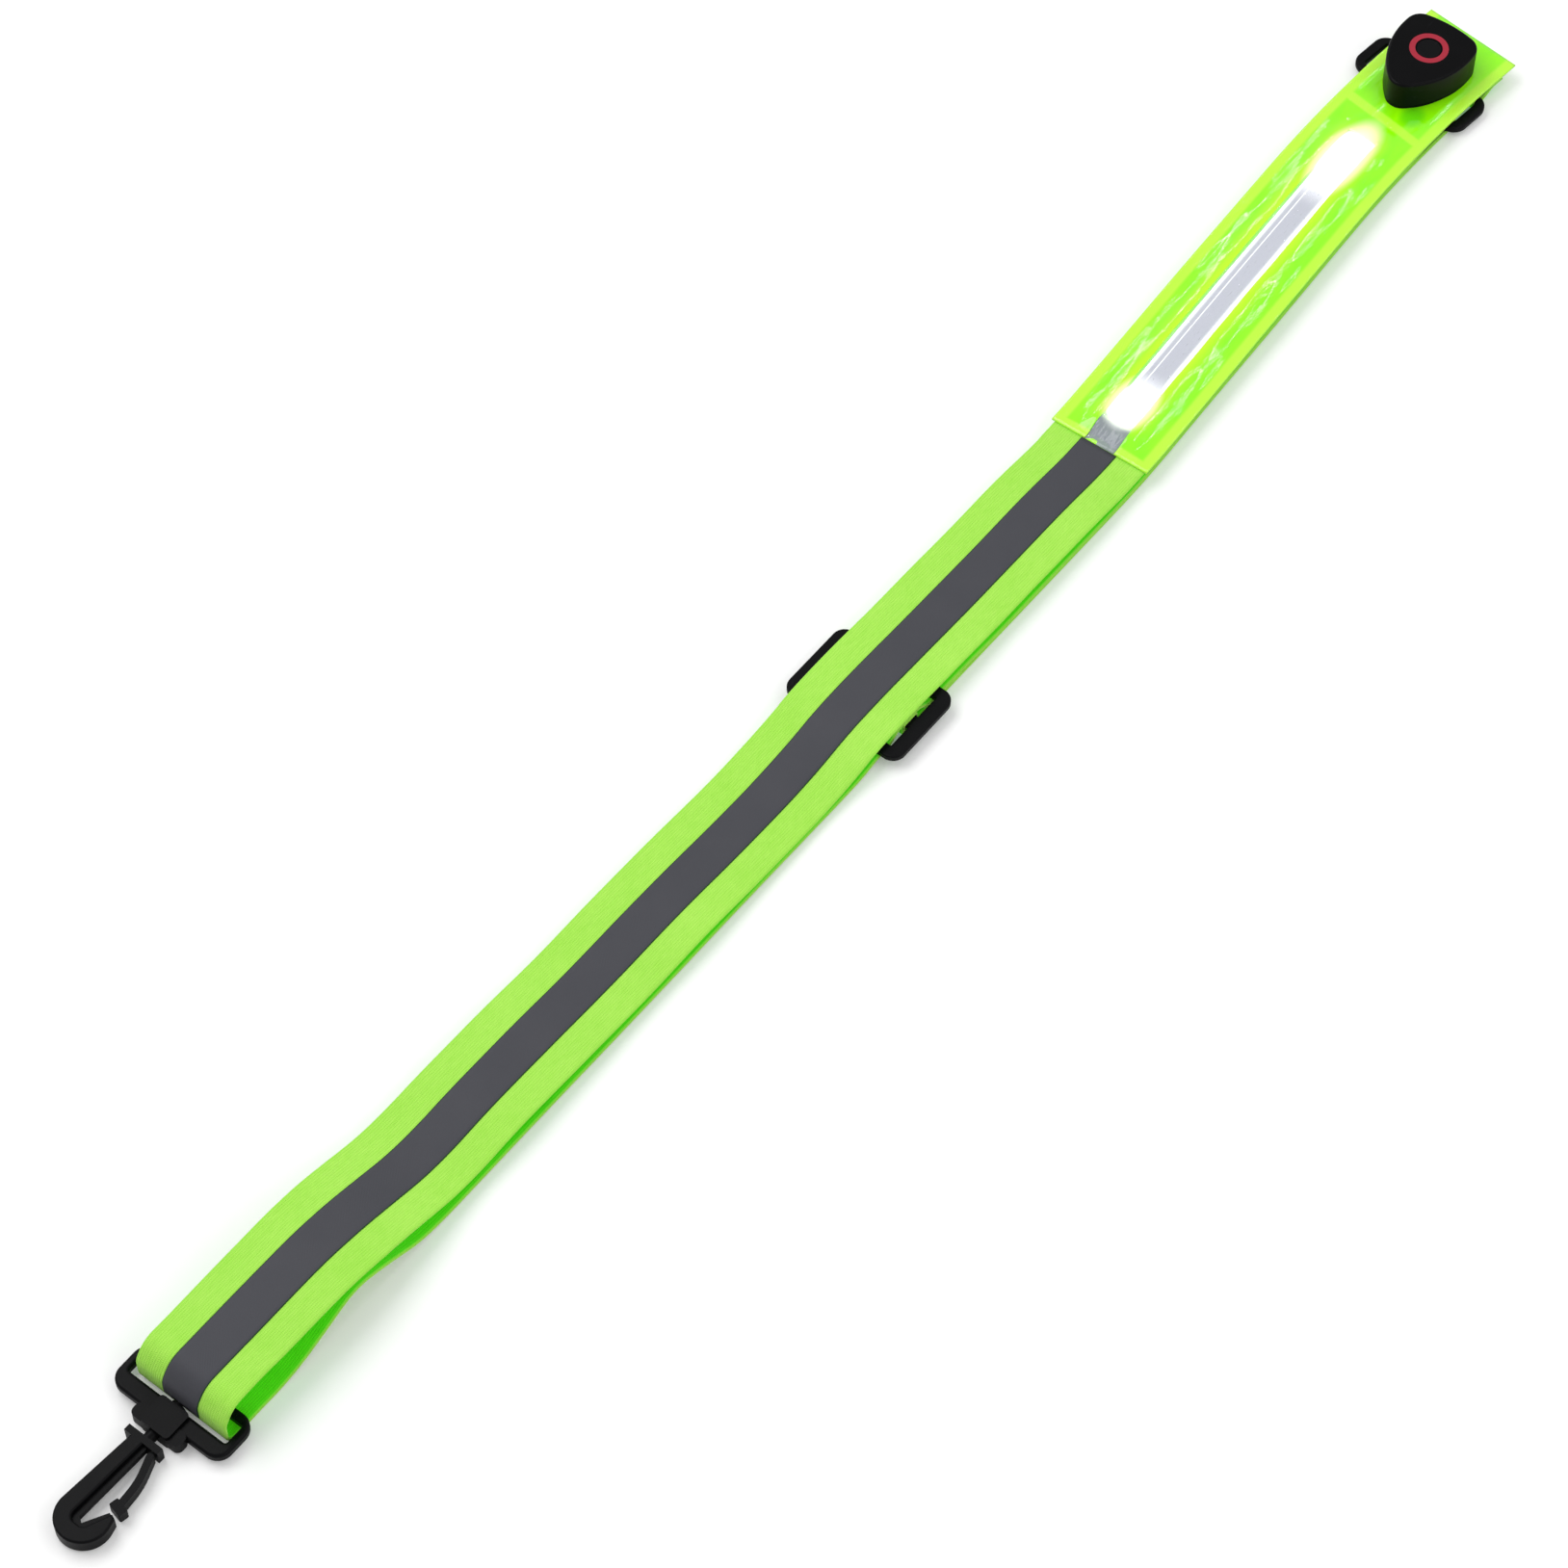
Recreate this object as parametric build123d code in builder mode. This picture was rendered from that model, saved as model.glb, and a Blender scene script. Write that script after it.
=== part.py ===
"""LED safety sash, lying folded flat on a table.

One long band of fluorescent webbing makes the sling. Its front run carries a reflective tape and
a clear-windowed pouch with a light strip and a coin-cell controller. At one end the band turns
round the bar of a hook frame with a swivel snap hook. It comes back underneath, passes a
two-slot slider and a ring, and its end is sewn round the slider's middle bar.

Millimetres. +X runs along the sash towards the controller, +Z is up from the table.
Stations along the sash are counted from the hook frame's webbing bar.
"""
from build123d import *
import os
from math import acos, atan2, copysign, cos, hypot, pi, radians, sin, tan

os.makedirs("parts", exist_ok=True)

# ---- overall ----
middle_x = 328.2            # station that lies over the row's origin
middle_y = 2.35             # sideways place of the row's origin
slider_x = 339.25           # middle of the slider
pouch_start_x = 474.0       # lower edge of the pouch
seam_x = 664.0              # cross weld where the band turns a little sideways
seam_y = 7.2                # sideways place of the band at the cross weld
pouch_start_y = -2.5        # sideways place of the band at the pouch's lower edge
head_turn = -5.5            # heading of the controller end, degrees
head_length = 55.5          # pouch length past the cross weld

# ---- band ----
web_width = 39.0
web_thick = 1.1
layer_gap = 0.1             # air between two layers that lie on each other
tape_width = 15.0
tape_thick = 0.25
tape_low_z = 5.3            # where the tape ends, inside the frame's slot
hook_rise = 18.5            # height of the front run's bow next to the hook
bow_x = 12.0                # station where the bow ends and the front run begins

# ---- hook frame ----
frame_mid_z = 3.5           # height of the frame's and the hook's middle plane
frame_width = 47.2
frame_thick = 4.0
frame_slot_width = 41.0
frame_slot_length = 7.9
far_bar = 3.4               # the bar that the webbing wraps
near_bar = 6.4              # the bar with the swivel boss
frame_corner = 5.5
hook_y = 0.65               # sideways place of the swivel axis
boss_width = 20.4
boss_length = 4.6           # boss length past the near bar
boss_height = 7.0
boss_core = 12.0            # boss width across the near bar
swivel_radius = 2.2
swivel_clearance = 0.05

# ---- snap hook ----
hook_thick = 6.4
collar_gap = 2.9            # gap between boss and collar
collar_length = 2.5
collar_width = 14.0
head_radius = 2.9
head_thick = 0.9
round_end_x = -55.3         # middle of the hook's round end
round_end_y = -2.9
round_end_radius = 9.5
nose_x = -49.9              # station of the nose tip
lip_thick = 2.6
gate_pivot_x = -27.7
gate_pivot_y = -5.3
gate_thick = 4.4
gate_arm = 2.6

# ---- slider ----
slider_length = 34.5
slider_width = 50.0
slider_y = -2.9
slider_slot_y = -2.2        # the slots lie a little to one side, with the strands
slider_slot = 9.85
slider_slot_width = 40.2
slider_thick = 2.2
slider_middle_bar = 5.4
middle_bar_thick = 1.7
slider_corner = 5.0

# ---- ring at the controller end ----
ring_start = 16.0           # distance past the cross weld
ring_length = 21.0
ring_width = 52.0
ring_bar = 3.8
ring_side_bar = 4.6
ring_y = 1.6
ring_thick = 2.8
ring_corner = 6.0
ring_inner_corner = 0.8

# ---- pouch and light strip ----
pouch_width = 41.0
film_thick = 0.4
front_film = 0.5
channel_end_x = 655.0
channel_width = 17.0
channel_rise = 2.4          # height of the channel's top above the backing film
channel_wall = 0.5
window_width = 12.6
window_clearance = 0.1
window_end_x = 652.0
guide_start_x = 494.5
guide_end_x = 643.0
guide_width = 11.6
guide_thick = 1.3
led_length = 7.0
led_gap = 0.3
reflector_thick = 0.15
lead_width = 4.0
lead_thick = 0.22
lead_air = 0.05

# ---- controller ----
control_x = 693.3           # middle of the push button
control_y = 6.3
control_height = 13.0
control_point = -24.0       # the three corners before rounding, from the button's middle
control_corner_x = 13.2
control_corner_y = 14.3
control_flat = 15.3
control_side_x = -7.2
control_side_y = 13.2
control_round = 6.5
floor_thick = 1.2
seal_thick = 0.2
shell_wall = 1.5
lip_wall = 1.0
lip_height = 1.4
lip_clearance = 0.15
roof_thick = 1.2
button_radius = 4.7
button_gap = 0.1
button_recess = 0.1
button_travel = 0.3
flange_radius = 5.9
flange_thick = 0.35
badge_outer = 7.4
badge_inner = 5.15
badge_depth = 0.4
cell_radius = 10.0
cell_thick = 3.2
cell_x = -2.0
contact_thick = 0.15
board_radius = 10.5
board_thick = 0.8
post_radius = 1.0
post_reach = 6.4            # how far the board's posts stand from its middle, each way
switch_side = 4.6
switch_height = 0.8
plunger_radius = 1.0
boss_radius = 2.1
screw_radius = 0.8
screw_head = 1.6
screw_spots = [(-16.5, 0.0), (9.6, 7.8), (9.6, -7.8)]

# ---- heights of the layers, centre of each layer above the table ----
layer = web_thick + layer_gap
first_z = web_thick / 2                   # the layer on the table
second_z = first_z + layer
third_z = second_z + layer
slider_z = third_z + web_thick / 2 + layer_gap          # underside of the slider
loop_top_z = slider_z + middle_bar_thick + layer_gap + web_thick / 2
pass_z = loop_top_z + layer
ring_z = web_thick + layer_gap                          # underside of the ring
over_ring_z = ring_z + ring_thick + layer_gap + web_thick / 2
head_z = over_ring_z + layer + layer_gap                # front run above the ring

# ---- planes and shared lines ----
plan = Plane(origin=(-middle_x, -middle_y, 0))
side = Plane(origin=(-middle_x, -middle_y, 0), x_dir=(1, 0, 0), z_dir=(0, -1, 0))
turn = radians(head_turn)
head = Plane(
    origin=(seam_x - middle_x, seam_y - middle_y, 0),
    x_dir=(cos(turn), sin(turn), 0),
    z_dir=(0, 0, 1),
)
head_side = Plane(origin=head.origin, x_dir=head.x_dir, z_dir=-head.y_dir)
hook_plan = Plane(origin=(-middle_x, hook_y - middle_y, frame_mid_z))
reach = 60.0                # longer than any half width
first_station = -30.0
plan_share = 0.9             # share of the shorter run that a plan rounding may take
side_share = 0.45            # the same for a side profile, where roundings meet in the middle
largest_radius = 600.0


def past_seam(distance):
    """Station and sideways place of a point on the band, past the cross weld."""
    return (seam_x + distance * cos(turn), seam_y + distance * sin(turn))


def centre_line(start, end):
    """The band's middle line in plan, from one station to another."""
    corners = [
        (first_station, 0.0),
        (pouch_start_x, pouch_start_y),
        (seam_x, seam_y),
        past_seam(120.0),
    ]

    def at(station):
        for (x0, y0), (x1, y1) in zip(corners, corners[1:]):
            if station <= x1:
                return (station, y0 + (y1 - y0) * (station - x0) / (x1 - x0))
        return corners[-1]

    inside = [corner for corner in corners if start < corner[0] < end]
    return [at(start)] + inside + [at(end)]


def bends(points):
    """The angle that the line turns by at each inner point, counter-clockwise."""
    angles = []
    for before, here, after in zip(points, points[1:], points[2:]):
        heading_in = atan2(here[1] - before[1], here[0] - before[0])
        heading_out = atan2(after[1] - here[1], after[0] - here[0])
        angles.append((heading_out - heading_in + pi) % (2 * pi) - pi)
    return angles


def soft_radii(points, share=side_share):
    """One rounding for each inner point, as large as its two runs allow."""
    radii = []
    for before, here, after, bend in zip(points, points[1:], points[2:], bends(points)):
        shorter = min(hypot(here[0] - before[0], here[1] - before[1]),
                      hypot(after[0] - here[0], after[1] - here[1]))
        radii.append(min(share * shorter / abs(tan(bend / 2)), largest_radius))
    return radii


def beside(points, distance):
    """The line that runs at a fixed distance to the left of a line."""
    headings = [atan2(z1 - z0, x1 - x0) for (x0, z0), (x1, z1) in zip(points, points[1:])]
    moved = []
    for index, (x, z) in enumerate(points):
        heading = headings[max(index - 1, 0)]
        half_bend = 0.0
        if 0 < index < len(points) - 1:
            half_bend = bends(points)[index - 1] / 2
        step = distance / cos(half_bend)
        moved.append((x - step * sin(heading + half_bend), z + step * cos(heading + half_bend)))
    return moved


def radii_beside(points, radii, distance):
    """The roundings of that line, which share their centres with the first line's."""
    return [radius - copysign(distance, bend) for radius, bend in zip(radii, bends(points))]


def ribbon(path, thick, width, radii=None, start=None, end=None):
    """A band on a side profile, cut to its width along the middle line in plan."""
    stations = [x for x, z in path]
    start = min(stations) - 8 if start is None else start
    end = max(stations) + 8 if end is None else end
    line = centre_line(start, end)
    with BuildPart() as band:
        with BuildSketch(side):
            with BuildLine():
                if len(path) > 2:
                    FilletPolyline(*path, radius=radii or soft_radii(path))
                else:
                    Line(*path)
            trace(line_width=thick)
        extrude(amount=reach, both=True)
        with BuildSketch(plan):
            with BuildLine():
                if len(line) > 2:
                    FilletPolyline(*line, radius=soft_radii(line, plan_share))
                else:
                    Line(*line)
            trace(line_width=width)
        extrude(amount=reach, both=True, mode=Mode.INTERSECT)
    return band.part


def covering(path, low, high, width, radii=None, start=None, end=None):
    """A layer on a band, between two distances to the left of the band's side profile."""
    middle = (low + high) / 2
    own = radii_beside(path, radii or soft_radii(path), middle)
    return ribbon(beside(path, middle), high - low, width, own, start, end)


def head_band(path, thick, width, radii):
    """A band past the cross weld, square to the controller end."""
    with BuildPart() as band:
        with BuildSketch(head_side):
            with BuildLine():
                FilletPolyline(*path, radius=radii)
            trace(line_width=thick)
        extrude(amount=width / 2, both=True)
    return band.part


def finish(piece, label):
    """Names a piece and writes it."""
    piece.part.label = label
    export_step(piece.part, f"parts/{label}.step")


# ================= webbing =================
wrap_radius = 4.0           # centre of the webbing where it turns under the far bar
slot_leg = -7.5             # station of the leg that goes down the slot, beside the near bar
bow_radii = [8.0, 6.0, wrap_radius]
bow_path = [
    (bow_x, hook_rise),
    (-3.0, hook_rise),
    (slot_leg, 12.0),
    (slot_leg, first_z),
    (10.0, first_z),
]
front_path = [
    (bow_x, hook_rise),
    (40.0, hook_rise),
    (54.0, hook_rise - 0.4),
    (70.0, 15.4),
    (85.0, 11.2),
    (98.0, 7.4),
    (112.0, 6.3),
    (130.0, 7.6),
    (160.0, 7.2),
    (190.0, 5.4),
    (228.0, 6.0),
    (262.0, 3.7),
    (286.0, 3.3),
    (305.0, 4.9),
    (slider_x - 19.0, pass_z + 0.8),
    (slider_x, pass_z + 1.5),
    (slider_x + 19.0, pass_z + 0.8),
    (385.0, 7.0),
    (412.0, 6.7),
    (440.0, 7.2),
    (462.0, 5.7),
    (pouch_start_x, 5.7),
]
pouch_path = [
    (pouch_start_x, 5.7),
    (505.0, 5.7),
    (560.0, 6.6),
    (620.0, 6.2),
    (seam_x - 10.0, head_z),
    (seam_x + 80.0, head_z + 0.001),
]
slider_start = slider_x - slider_length / 2
slot_1 = slider_start + (slider_length - slider_middle_bar - 2 * slider_slot) / 2
slot_2 = slider_x + slider_middle_bar / 2
end_bar = slot_1 - slider_start
back_path = [
    (10.0, first_z),
    (22.0, first_z),
    (40.0, 7.8),
    (53.0, 14.0),
    (67.0, 9.6),
    (83.0, 1.9),
    (96.0, first_z + 0.05),
    (140.0, 1.0),
    (190.0, first_z + 0.05),
    (250.0, 1.1),
    (300.0, first_z + 0.05),
    (slider_start - 10.0, 0.9),
    (slider_start - 1.0, third_z),
    (slot_1 + 3.2, third_z),
    (slot_1 + 6.9, pass_z),
    (slot_2 + 3.1, pass_z),
    (slot_2 + 6.8, third_z),
    (slider_x + 33.0, third_z + 0.01),
    (slider_x + 49.0, second_z + 0.05),
    (430.0, second_z + 0.15),
    (474.0, second_z + 0.05),
    (520.0, second_z + 0.65),
    (560.0, second_z + 0.15),
    (610.0, second_z + 0.85),
    (650.0, second_z + 0.35),
    (seam_x + 4.0, over_ring_z),
    (seam_x + 40.0, over_ring_z + 0.001),
]
loop_start_x = slider_x + 23.0
return_path = [
    (loop_start_x, first_z),
    (474.0, first_z),
    (520.0, first_z + 0.55),
    (560.0, first_z + 0.05),
    (610.0, first_z + 0.75),
    (650.0, first_z + 0.15),
    (seam_x, first_z),
    (seam_x + 40.0, first_z + 0.001),
]
loop_leg_1 = slider_x - slider_middle_bar / 2 - 0.2 - web_thick / 2
loop_leg_2 = slider_x + slider_middle_bar / 2 + 0.2 + web_thick / 2
slider_loop_path = [
    (loop_start_x, first_z),
    (loop_leg_1, first_z),
    (loop_leg_1, loop_top_z),
    (loop_leg_2, loop_top_z),
    (loop_leg_2, second_z),
    (slider_x + 29.0, second_z),
]
turn_end = 10.0
turn_leg = ring_start + ring_bar + 0.15 + web_thick / 2
fold_start = 46.0
fold_end = 51.9
fold_leg = ring_start + ring_length - ring_bar - 0.25 - web_thick / 2
tail_z = over_ring_z - layer - 0.05

with BuildPart() as webbing_hook_bend:
    add(ribbon(bow_path, web_thick, web_width, radii=bow_radii))
finish(webbing_hook_bend, "webbing_hook_bend")

with BuildPart() as webbing_front_run:
    add(ribbon(front_path, web_thick, web_width))
finish(webbing_front_run, "webbing_front_run")

with BuildPart() as webbing_pouch_run:
    add(ribbon(pouch_path, web_thick, web_width, end=past_seam(fold_start)[0]))
finish(webbing_pouch_run, "webbing_pouch_run")

with BuildPart() as webbing_back_run:
    add(ribbon(back_path, web_thick, web_width, end=past_seam(turn_end)[0]))
finish(webbing_back_run, "webbing_back_run")

with BuildPart() as webbing_return_run:
    add(ribbon(return_path, web_thick, web_width, end=past_seam(turn_end)[0]))
finish(webbing_return_run, "webbing_return_run")

with BuildPart() as webbing_slider_loop:
    add(ribbon(slider_loop_path, web_thick, web_width, radii=[0.8, 0.8, 0.8, 0.8]))
finish(webbing_slider_loop, "webbing_slider_loop")

with BuildPart() as webbing_ring_turn:
    turn_path = [
        (turn_end, first_z),
        (turn_leg, first_z),
        (turn_leg, over_ring_z),
        (turn_end, over_ring_z),
    ]
    add(head_band(turn_path, web_thick, web_width, [1.2, 1.2]))
finish(webbing_ring_turn, "webbing_ring_turn")

with BuildPart() as webbing_head_fold:
    fold_path = [
        (fold_start, head_z),
        (fold_end, head_z),
        (fold_end, over_ring_z),
        (fold_leg, over_ring_z),
        (fold_leg, first_z),
        (fold_leg + 6.2, first_z + 0.05),
        (fold_leg + 11.8, tail_z),
        (fold_end - 1.9, tail_z),
    ]
    add(head_band(fold_path, web_thick, web_width, [0.64, 0.64, 1.2, 1.2, 3.0, 3.0]))
finish(webbing_head_fold, "webbing_head_fold")

# ================= reflective tape =================
glue_line = 0.02
tape_low = web_thick / 2 + glue_line
tape_high = tape_low + tape_thick
with BuildPart() as reflective_tape:
    add(covering(front_path, tape_low, tape_high, tape_width))
finish(reflective_tape, "reflective_tape")

with BuildPart() as reflective_tape_bend:
    (high_x, high_z), (low_x, low_z) = bow_path[2:4]
    share_down = (high_z - tape_low_z) / (high_z - low_z)
    tape_end = (high_x + (low_x - high_x) * share_down, tape_low_z)
    tape_path = bow_path[:3] + [tape_end]
    add(covering(tape_path, -tape_high, -tape_low, tape_width, bow_radii[:2]))
finish(reflective_tape_bend, "reflective_tape_bend")

# ================= hook frame =================
frame_near_x = -far_bar / 2 - frame_slot_length - near_bar
frame_far_x = far_bar / 2
boss_face_x = frame_near_x - boss_length
inner_face_x = frame_near_x + near_bar
frame_mid_x = (frame_near_x + frame_far_x) / 2
slot_mid_x = -far_bar / 2 - frame_slot_length / 2

with BuildPart() as hook_frame:
    with BuildSketch(hook_plan):
        with Locations((frame_mid_x, 0)):
            RectangleRounded(frame_far_x - frame_near_x, frame_width, frame_corner)
        with Locations((slot_mid_x, 0)):
            RectangleRounded(frame_slot_length, frame_slot_width, 1.0, mode=Mode.SUBTRACT)
    extrude(amount=frame_thick / 2, both=True)
    fillet(hook_frame.edges().filter_by(Axis.Y), 1.15)
    with BuildSketch(hook_plan):
        with Locations(((boss_face_x + frame_near_x + 1.0) / 2, 0)):
            RectangleRounded(boss_length + 1.0, boss_width, 2.2)
    extrude(amount=frame_thick / 2 + 0.4, both=True)
    with BuildSketch(hook_plan):
        with Locations(((boss_face_x + inner_face_x) / 2, 0)):
            RectangleRounded(inner_face_x - boss_face_x, boss_core, 1.5)
    extrude(amount=boss_height / 2, both=True)
    with BuildSketch(Plane(origin=hook_plan.origin + Vector(boss_face_x, 0, 0), z_dir=(1, 0, 0))):
        Circle(swivel_radius + swivel_clearance)
    extrude(amount=inner_face_x - boss_face_x, mode=Mode.SUBTRACT)
finish(hook_frame, "hook_frame")

# ================= snap hook =================
collar_x = boss_face_x - collar_gap
spine_x = collar_x - collar_length
hook_half = hook_thick / 2

nose_outer = (nose_x - 0.3, -11.4)
nose_inner = (nose_x + 0.4, -9.6)
spine_outer = (spine_x + 1.0, 4.3)
spine_inner = (spine_x + 1.0, -0.9)
crook_low = (-58.6, -5.6)
crook_high = (-58.6, 0.5)
crook_radius = 2.6


def tangent_point(point, above):
    """Where a line from a point touches the hook's round end."""
    away = hypot(point[0] - round_end_x, point[1] - round_end_y)
    spread = acos(round_end_radius / away)
    angle = atan2(point[1] - round_end_y, point[0] - round_end_x) + (spread if above else -spread)
    return (round_end_x + round_end_radius * cos(angle), round_end_y + round_end_radius * sin(angle))


with BuildPart() as snap_hook:
    with BuildSketch(hook_plan):
        with BuildLine():
            spine_end = tangent_point(spine_outer, above=True)
            nose_start = tangent_point(nose_outer, above=False)
            Line(spine_outer, spine_end)
            ThreePointArc(spine_end, (round_end_x - round_end_radius, round_end_y), nose_start)
            Polyline(nose_start, nose_outer, nose_inner)
            FilletPolyline(nose_inner, crook_low, crook_high, spine_inner, radius=crook_radius)
            Line(spine_inner, spine_outer)
        make_face()
    extrude(amount=hook_half, both=True)
    fillet(snap_hook.edges().group_by(Axis.Z)[-1] + snap_hook.edges().group_by(Axis.Z)[0], 0.8)
    with BuildSketch(hook_plan):
        with BuildLine():
            Polyline(
                (spine_x + 1.0, 0.6),
                (-57.0, 1.6),
                (-60.4, -2.6),
                (-59.6, -6.4),
                (-57.0, -7.8),
                (nose_x, -10.2),
                (nose_x + 0.7, -8.1),
                (-57.1, -3.6),
                (-55.8, -1.6),
                (spine_x + 1.0, -2.4),
                close=True,
            )
        make_face()
    extrude(amount=lip_thick / 2, both=True)
    with BuildSketch(hook_plan):
        with Locations((spine_x + collar_length / 2, 0)):
            Rectangle(collar_length, collar_width)
    extrude(amount=hook_half, both=True)
    with BuildSketch(Plane(origin=hook_plan.origin + Vector(spine_x + 1.0, 0, 0), z_dir=(1, 0, 0))):
        Circle(swivel_radius)
    extrude(amount=inner_face_x + layer_gap + head_thick - spine_x - 1.0)
    with BuildSketch(
        Plane(origin=hook_plan.origin + Vector(inner_face_x + layer_gap, 0, 0), z_dir=(1, 0, 0))
    ):
        Circle(head_radius)
    extrude(amount=head_thick)
finish(snap_hook, "snap_hook")

gate_block_x = nose_x + 3.5
with BuildPart() as gate:
    with BuildSketch(hook_plan):
        with BuildLine():
            FilletPolyline(
                (gate_pivot_x, gate_pivot_y),
                (-36.3, -8.5),
                (gate_block_x, -9.2),
                radius=30.0,
            )
        trace(line_width=gate_arm)
        with Locations((gate_pivot_x, gate_pivot_y)):
            Circle(gate_arm / 2)
        with Locations(Location((gate_block_x, -9.3), -12.0)):
            RectangleRounded(3.4, 5.6, 0.6)
    extrude(amount=gate_thick / 2, both=True)
finish(gate, "gate")

# ================= slider =================
with BuildPart() as slider:
    with BuildSketch(plan.offset(slider_z)):
        with Locations((slider_x, slider_y)):
            RectangleRounded(slider_length, slider_width, slider_corner)
        with Locations((slot_1 + slider_slot / 2, slider_slot_y), (slot_2 + slider_slot / 2, slider_slot_y)):
            Rectangle(slider_slot, slider_slot_width, mode=Mode.SUBTRACT)
    extrude(amount=slider_thick)
    fillet(slider.edges().filter_by(Axis.Z, reverse=True).group_by(Axis.Z)[-1], 0.5)
    with BuildSketch(plan.offset(slider_z + middle_bar_thick)):
        with Locations((slider_x, slider_slot_y)):
            Rectangle(slider_middle_bar + 0.4, slider_slot_width)
    extrude(amount=slider_thick, mode=Mode.SUBTRACT)
finish(slider, "slider")

# ================= ring =================
with BuildPart() as top_ring:
    with BuildSketch(head.offset(ring_z)):
        with Locations((ring_start + ring_length / 2, ring_y)):
            RectangleRounded(ring_length, ring_width, ring_corner)
            RectangleRounded(
                ring_length - 2 * ring_bar,
                ring_width - 2 * ring_side_bar,
                ring_inner_corner,
                mode=Mode.SUBTRACT,
            )
    extrude(amount=ring_thick)
    fillet(top_ring.edges().group_by(Axis.Z)[-1], 0.9)
    fillet(top_ring.edges().group_by(Axis.Z)[0], 0.9)
finish(top_ring, "top_ring")

# ================= pouch =================
back_low = web_thick / 2 + 0.05                       # underside of the backing above the band's middle
back_top = back_low + film_thick
front_top = back_top + front_film
channel_top = back_top + channel_rise
roof_low = channel_top - channel_wall
pouch_end = past_seam(head_length)[0]


def along_pouch(low, high, width, start=None, end=None):
    """A strip of the pouch between two heights above the band's middle."""
    return covering(pouch_path, low, high, width, start=start, end=end)


with BuildPart() as pouch_back:
    add(along_pouch(back_low, back_top, pouch_width, end=pouch_end))
finish(pouch_back, "pouch_back")

strip_low = back_top + 0.05 + reflector_thick + 0.05
strip_high = strip_low + guide_thick
guide_end_gap = guide_start_x - led_gap - led_length
lead_end_x = control_x - 9.0
lead_z = head_z + back_top + 0.02                     # underside of the lead

with BuildPart() as pouch_front:
    add(along_pouch(back_top, front_top, pouch_width, end=pouch_end))
    add(along_pouch(back_top, channel_top, channel_width, end=channel_end_x))
    inner_width = channel_width - 2 * channel_wall
    add(
        along_pouch(back_top, roof_low, inner_width, pouch_start_x + 6.0, channel_end_x - 1.0),
        mode=Mode.SUBTRACT,
    )
    opening_width = window_width + 2 * window_clearance
    add(
        along_pouch(roof_low - 0.3, channel_top + 0.3, opening_width, pouch_start_x + 4.0, window_end_x),
        mode=Mode.SUBTRACT,
    )
    with BuildSketch(plan.offset(lead_z + lead_thick + lead_air)):
        with BuildLine():
            Polyline(*centre_line(channel_end_x - 2.0, lead_end_x))
        trace(line_width=lead_width + 2 * lead_air)
    extrude(amount=-1.0, mode=Mode.SUBTRACT)
finish(pouch_front, "pouch_front")

with BuildPart() as clear_window:
    start = pouch_start_x + 4.0 + window_clearance
    add(along_pouch(roof_low, channel_top, window_width, start, window_end_x - window_clearance))
finish(clear_window, "clear_window")

with BuildPart() as reflector_strip:
    add(
        along_pouch(
            back_top + 0.05, back_top + 0.05 + reflector_thick, guide_width + 1.0, guide_end_gap,
            guide_end_x + led_gap + led_length,
        )
    )
finish(reflector_strip, "reflector_strip")

with BuildPart() as light_guide:
    add(along_pouch(strip_low, strip_high, guide_width, guide_start_x, guide_end_x))
finish(light_guide, "light_guide")

with BuildPart() as led_module_lower:
    add(along_pouch(strip_low, strip_high, guide_width, guide_end_gap, guide_start_x - led_gap))
finish(led_module_lower, "led_module_lower")

with BuildPart() as led_module_upper:
    start = guide_end_x + led_gap
    add(along_pouch(strip_low, strip_high, guide_width, start, start + led_length))
finish(led_module_upper, "led_module_upper")

with BuildPart() as flat_lead:
    with BuildSketch(plan.offset(lead_z)):
        with BuildLine():
            Polyline(*centre_line(guide_end_x + 2 * led_gap + led_length, lead_end_x - lead_air))
        trace(line_width=lead_width)
    extrude(amount=lead_thick)
finish(flat_lead, "flat_lead")

# ================= controller =================
control_z = head_z + front_top + 0.05
control = Plane(origin=(control_x - middle_x, control_y - middle_y, control_z))


def control_outline(inset):
    """The controller's rounded three-cornered outline, moved in by an inset."""
    with BuildSketch() as outline:
        with BuildLine():
            point = (control_point, 0)
            left = (control_corner_x, control_corner_y)
            right = (control_corner_x, -control_corner_y)
            ThreePointArc(point, (control_side_x, control_side_y), left)
            ThreePointArc(left, (control_flat, 0), right)
            ThreePointArc(right, (control_side_x, -control_side_y), point)
        make_face()
        fillet(outline.vertices(), control_round)
        if inset > 0:
            offset(amount=-inset, kind=Kind.ARC, mode=Mode.REPLACE)
    return outline.sketch


roof_z = control_height - roof_thick
cover_z = floor_thick + seal_thick
flange_top = roof_z - button_gap
flange_low = flange_top - flange_thick
switch_top = flange_low - button_travel - 0.05
board_top = switch_top - switch_height
cell_z = floor_thick + contact_thick + 0.05

with BuildPart() as controller_base:
    with BuildSketch(control):
        add(control_outline(0))
    extrude(amount=floor_thick)
    with BuildSketch(control.offset(floor_thick)):
        add(control_outline(shell_wall + lip_clearance))
        add(control_outline(shell_wall + lip_clearance + lip_wall), mode=Mode.SUBTRACT)
    extrude(amount=lip_height)
    fillet(controller_base.edges().group_by(Axis.Z)[0], 0.4)
    with Locations(control.offset(0)):
        with Locations(*[(x, y, 0) for x, y in screw_spots]):
            Cylinder(
                screw_radius + 0.1, 10.0, align=(Align.CENTER, Align.CENTER, Align.MIN),
                mode=Mode.SUBTRACT,
            )
            Cylinder(
                screw_head + 0.1, 0.6, align=(Align.CENTER, Align.CENTER, Align.MIN),
                mode=Mode.SUBTRACT,
            )
finish(controller_base, "controller_base")

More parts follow.
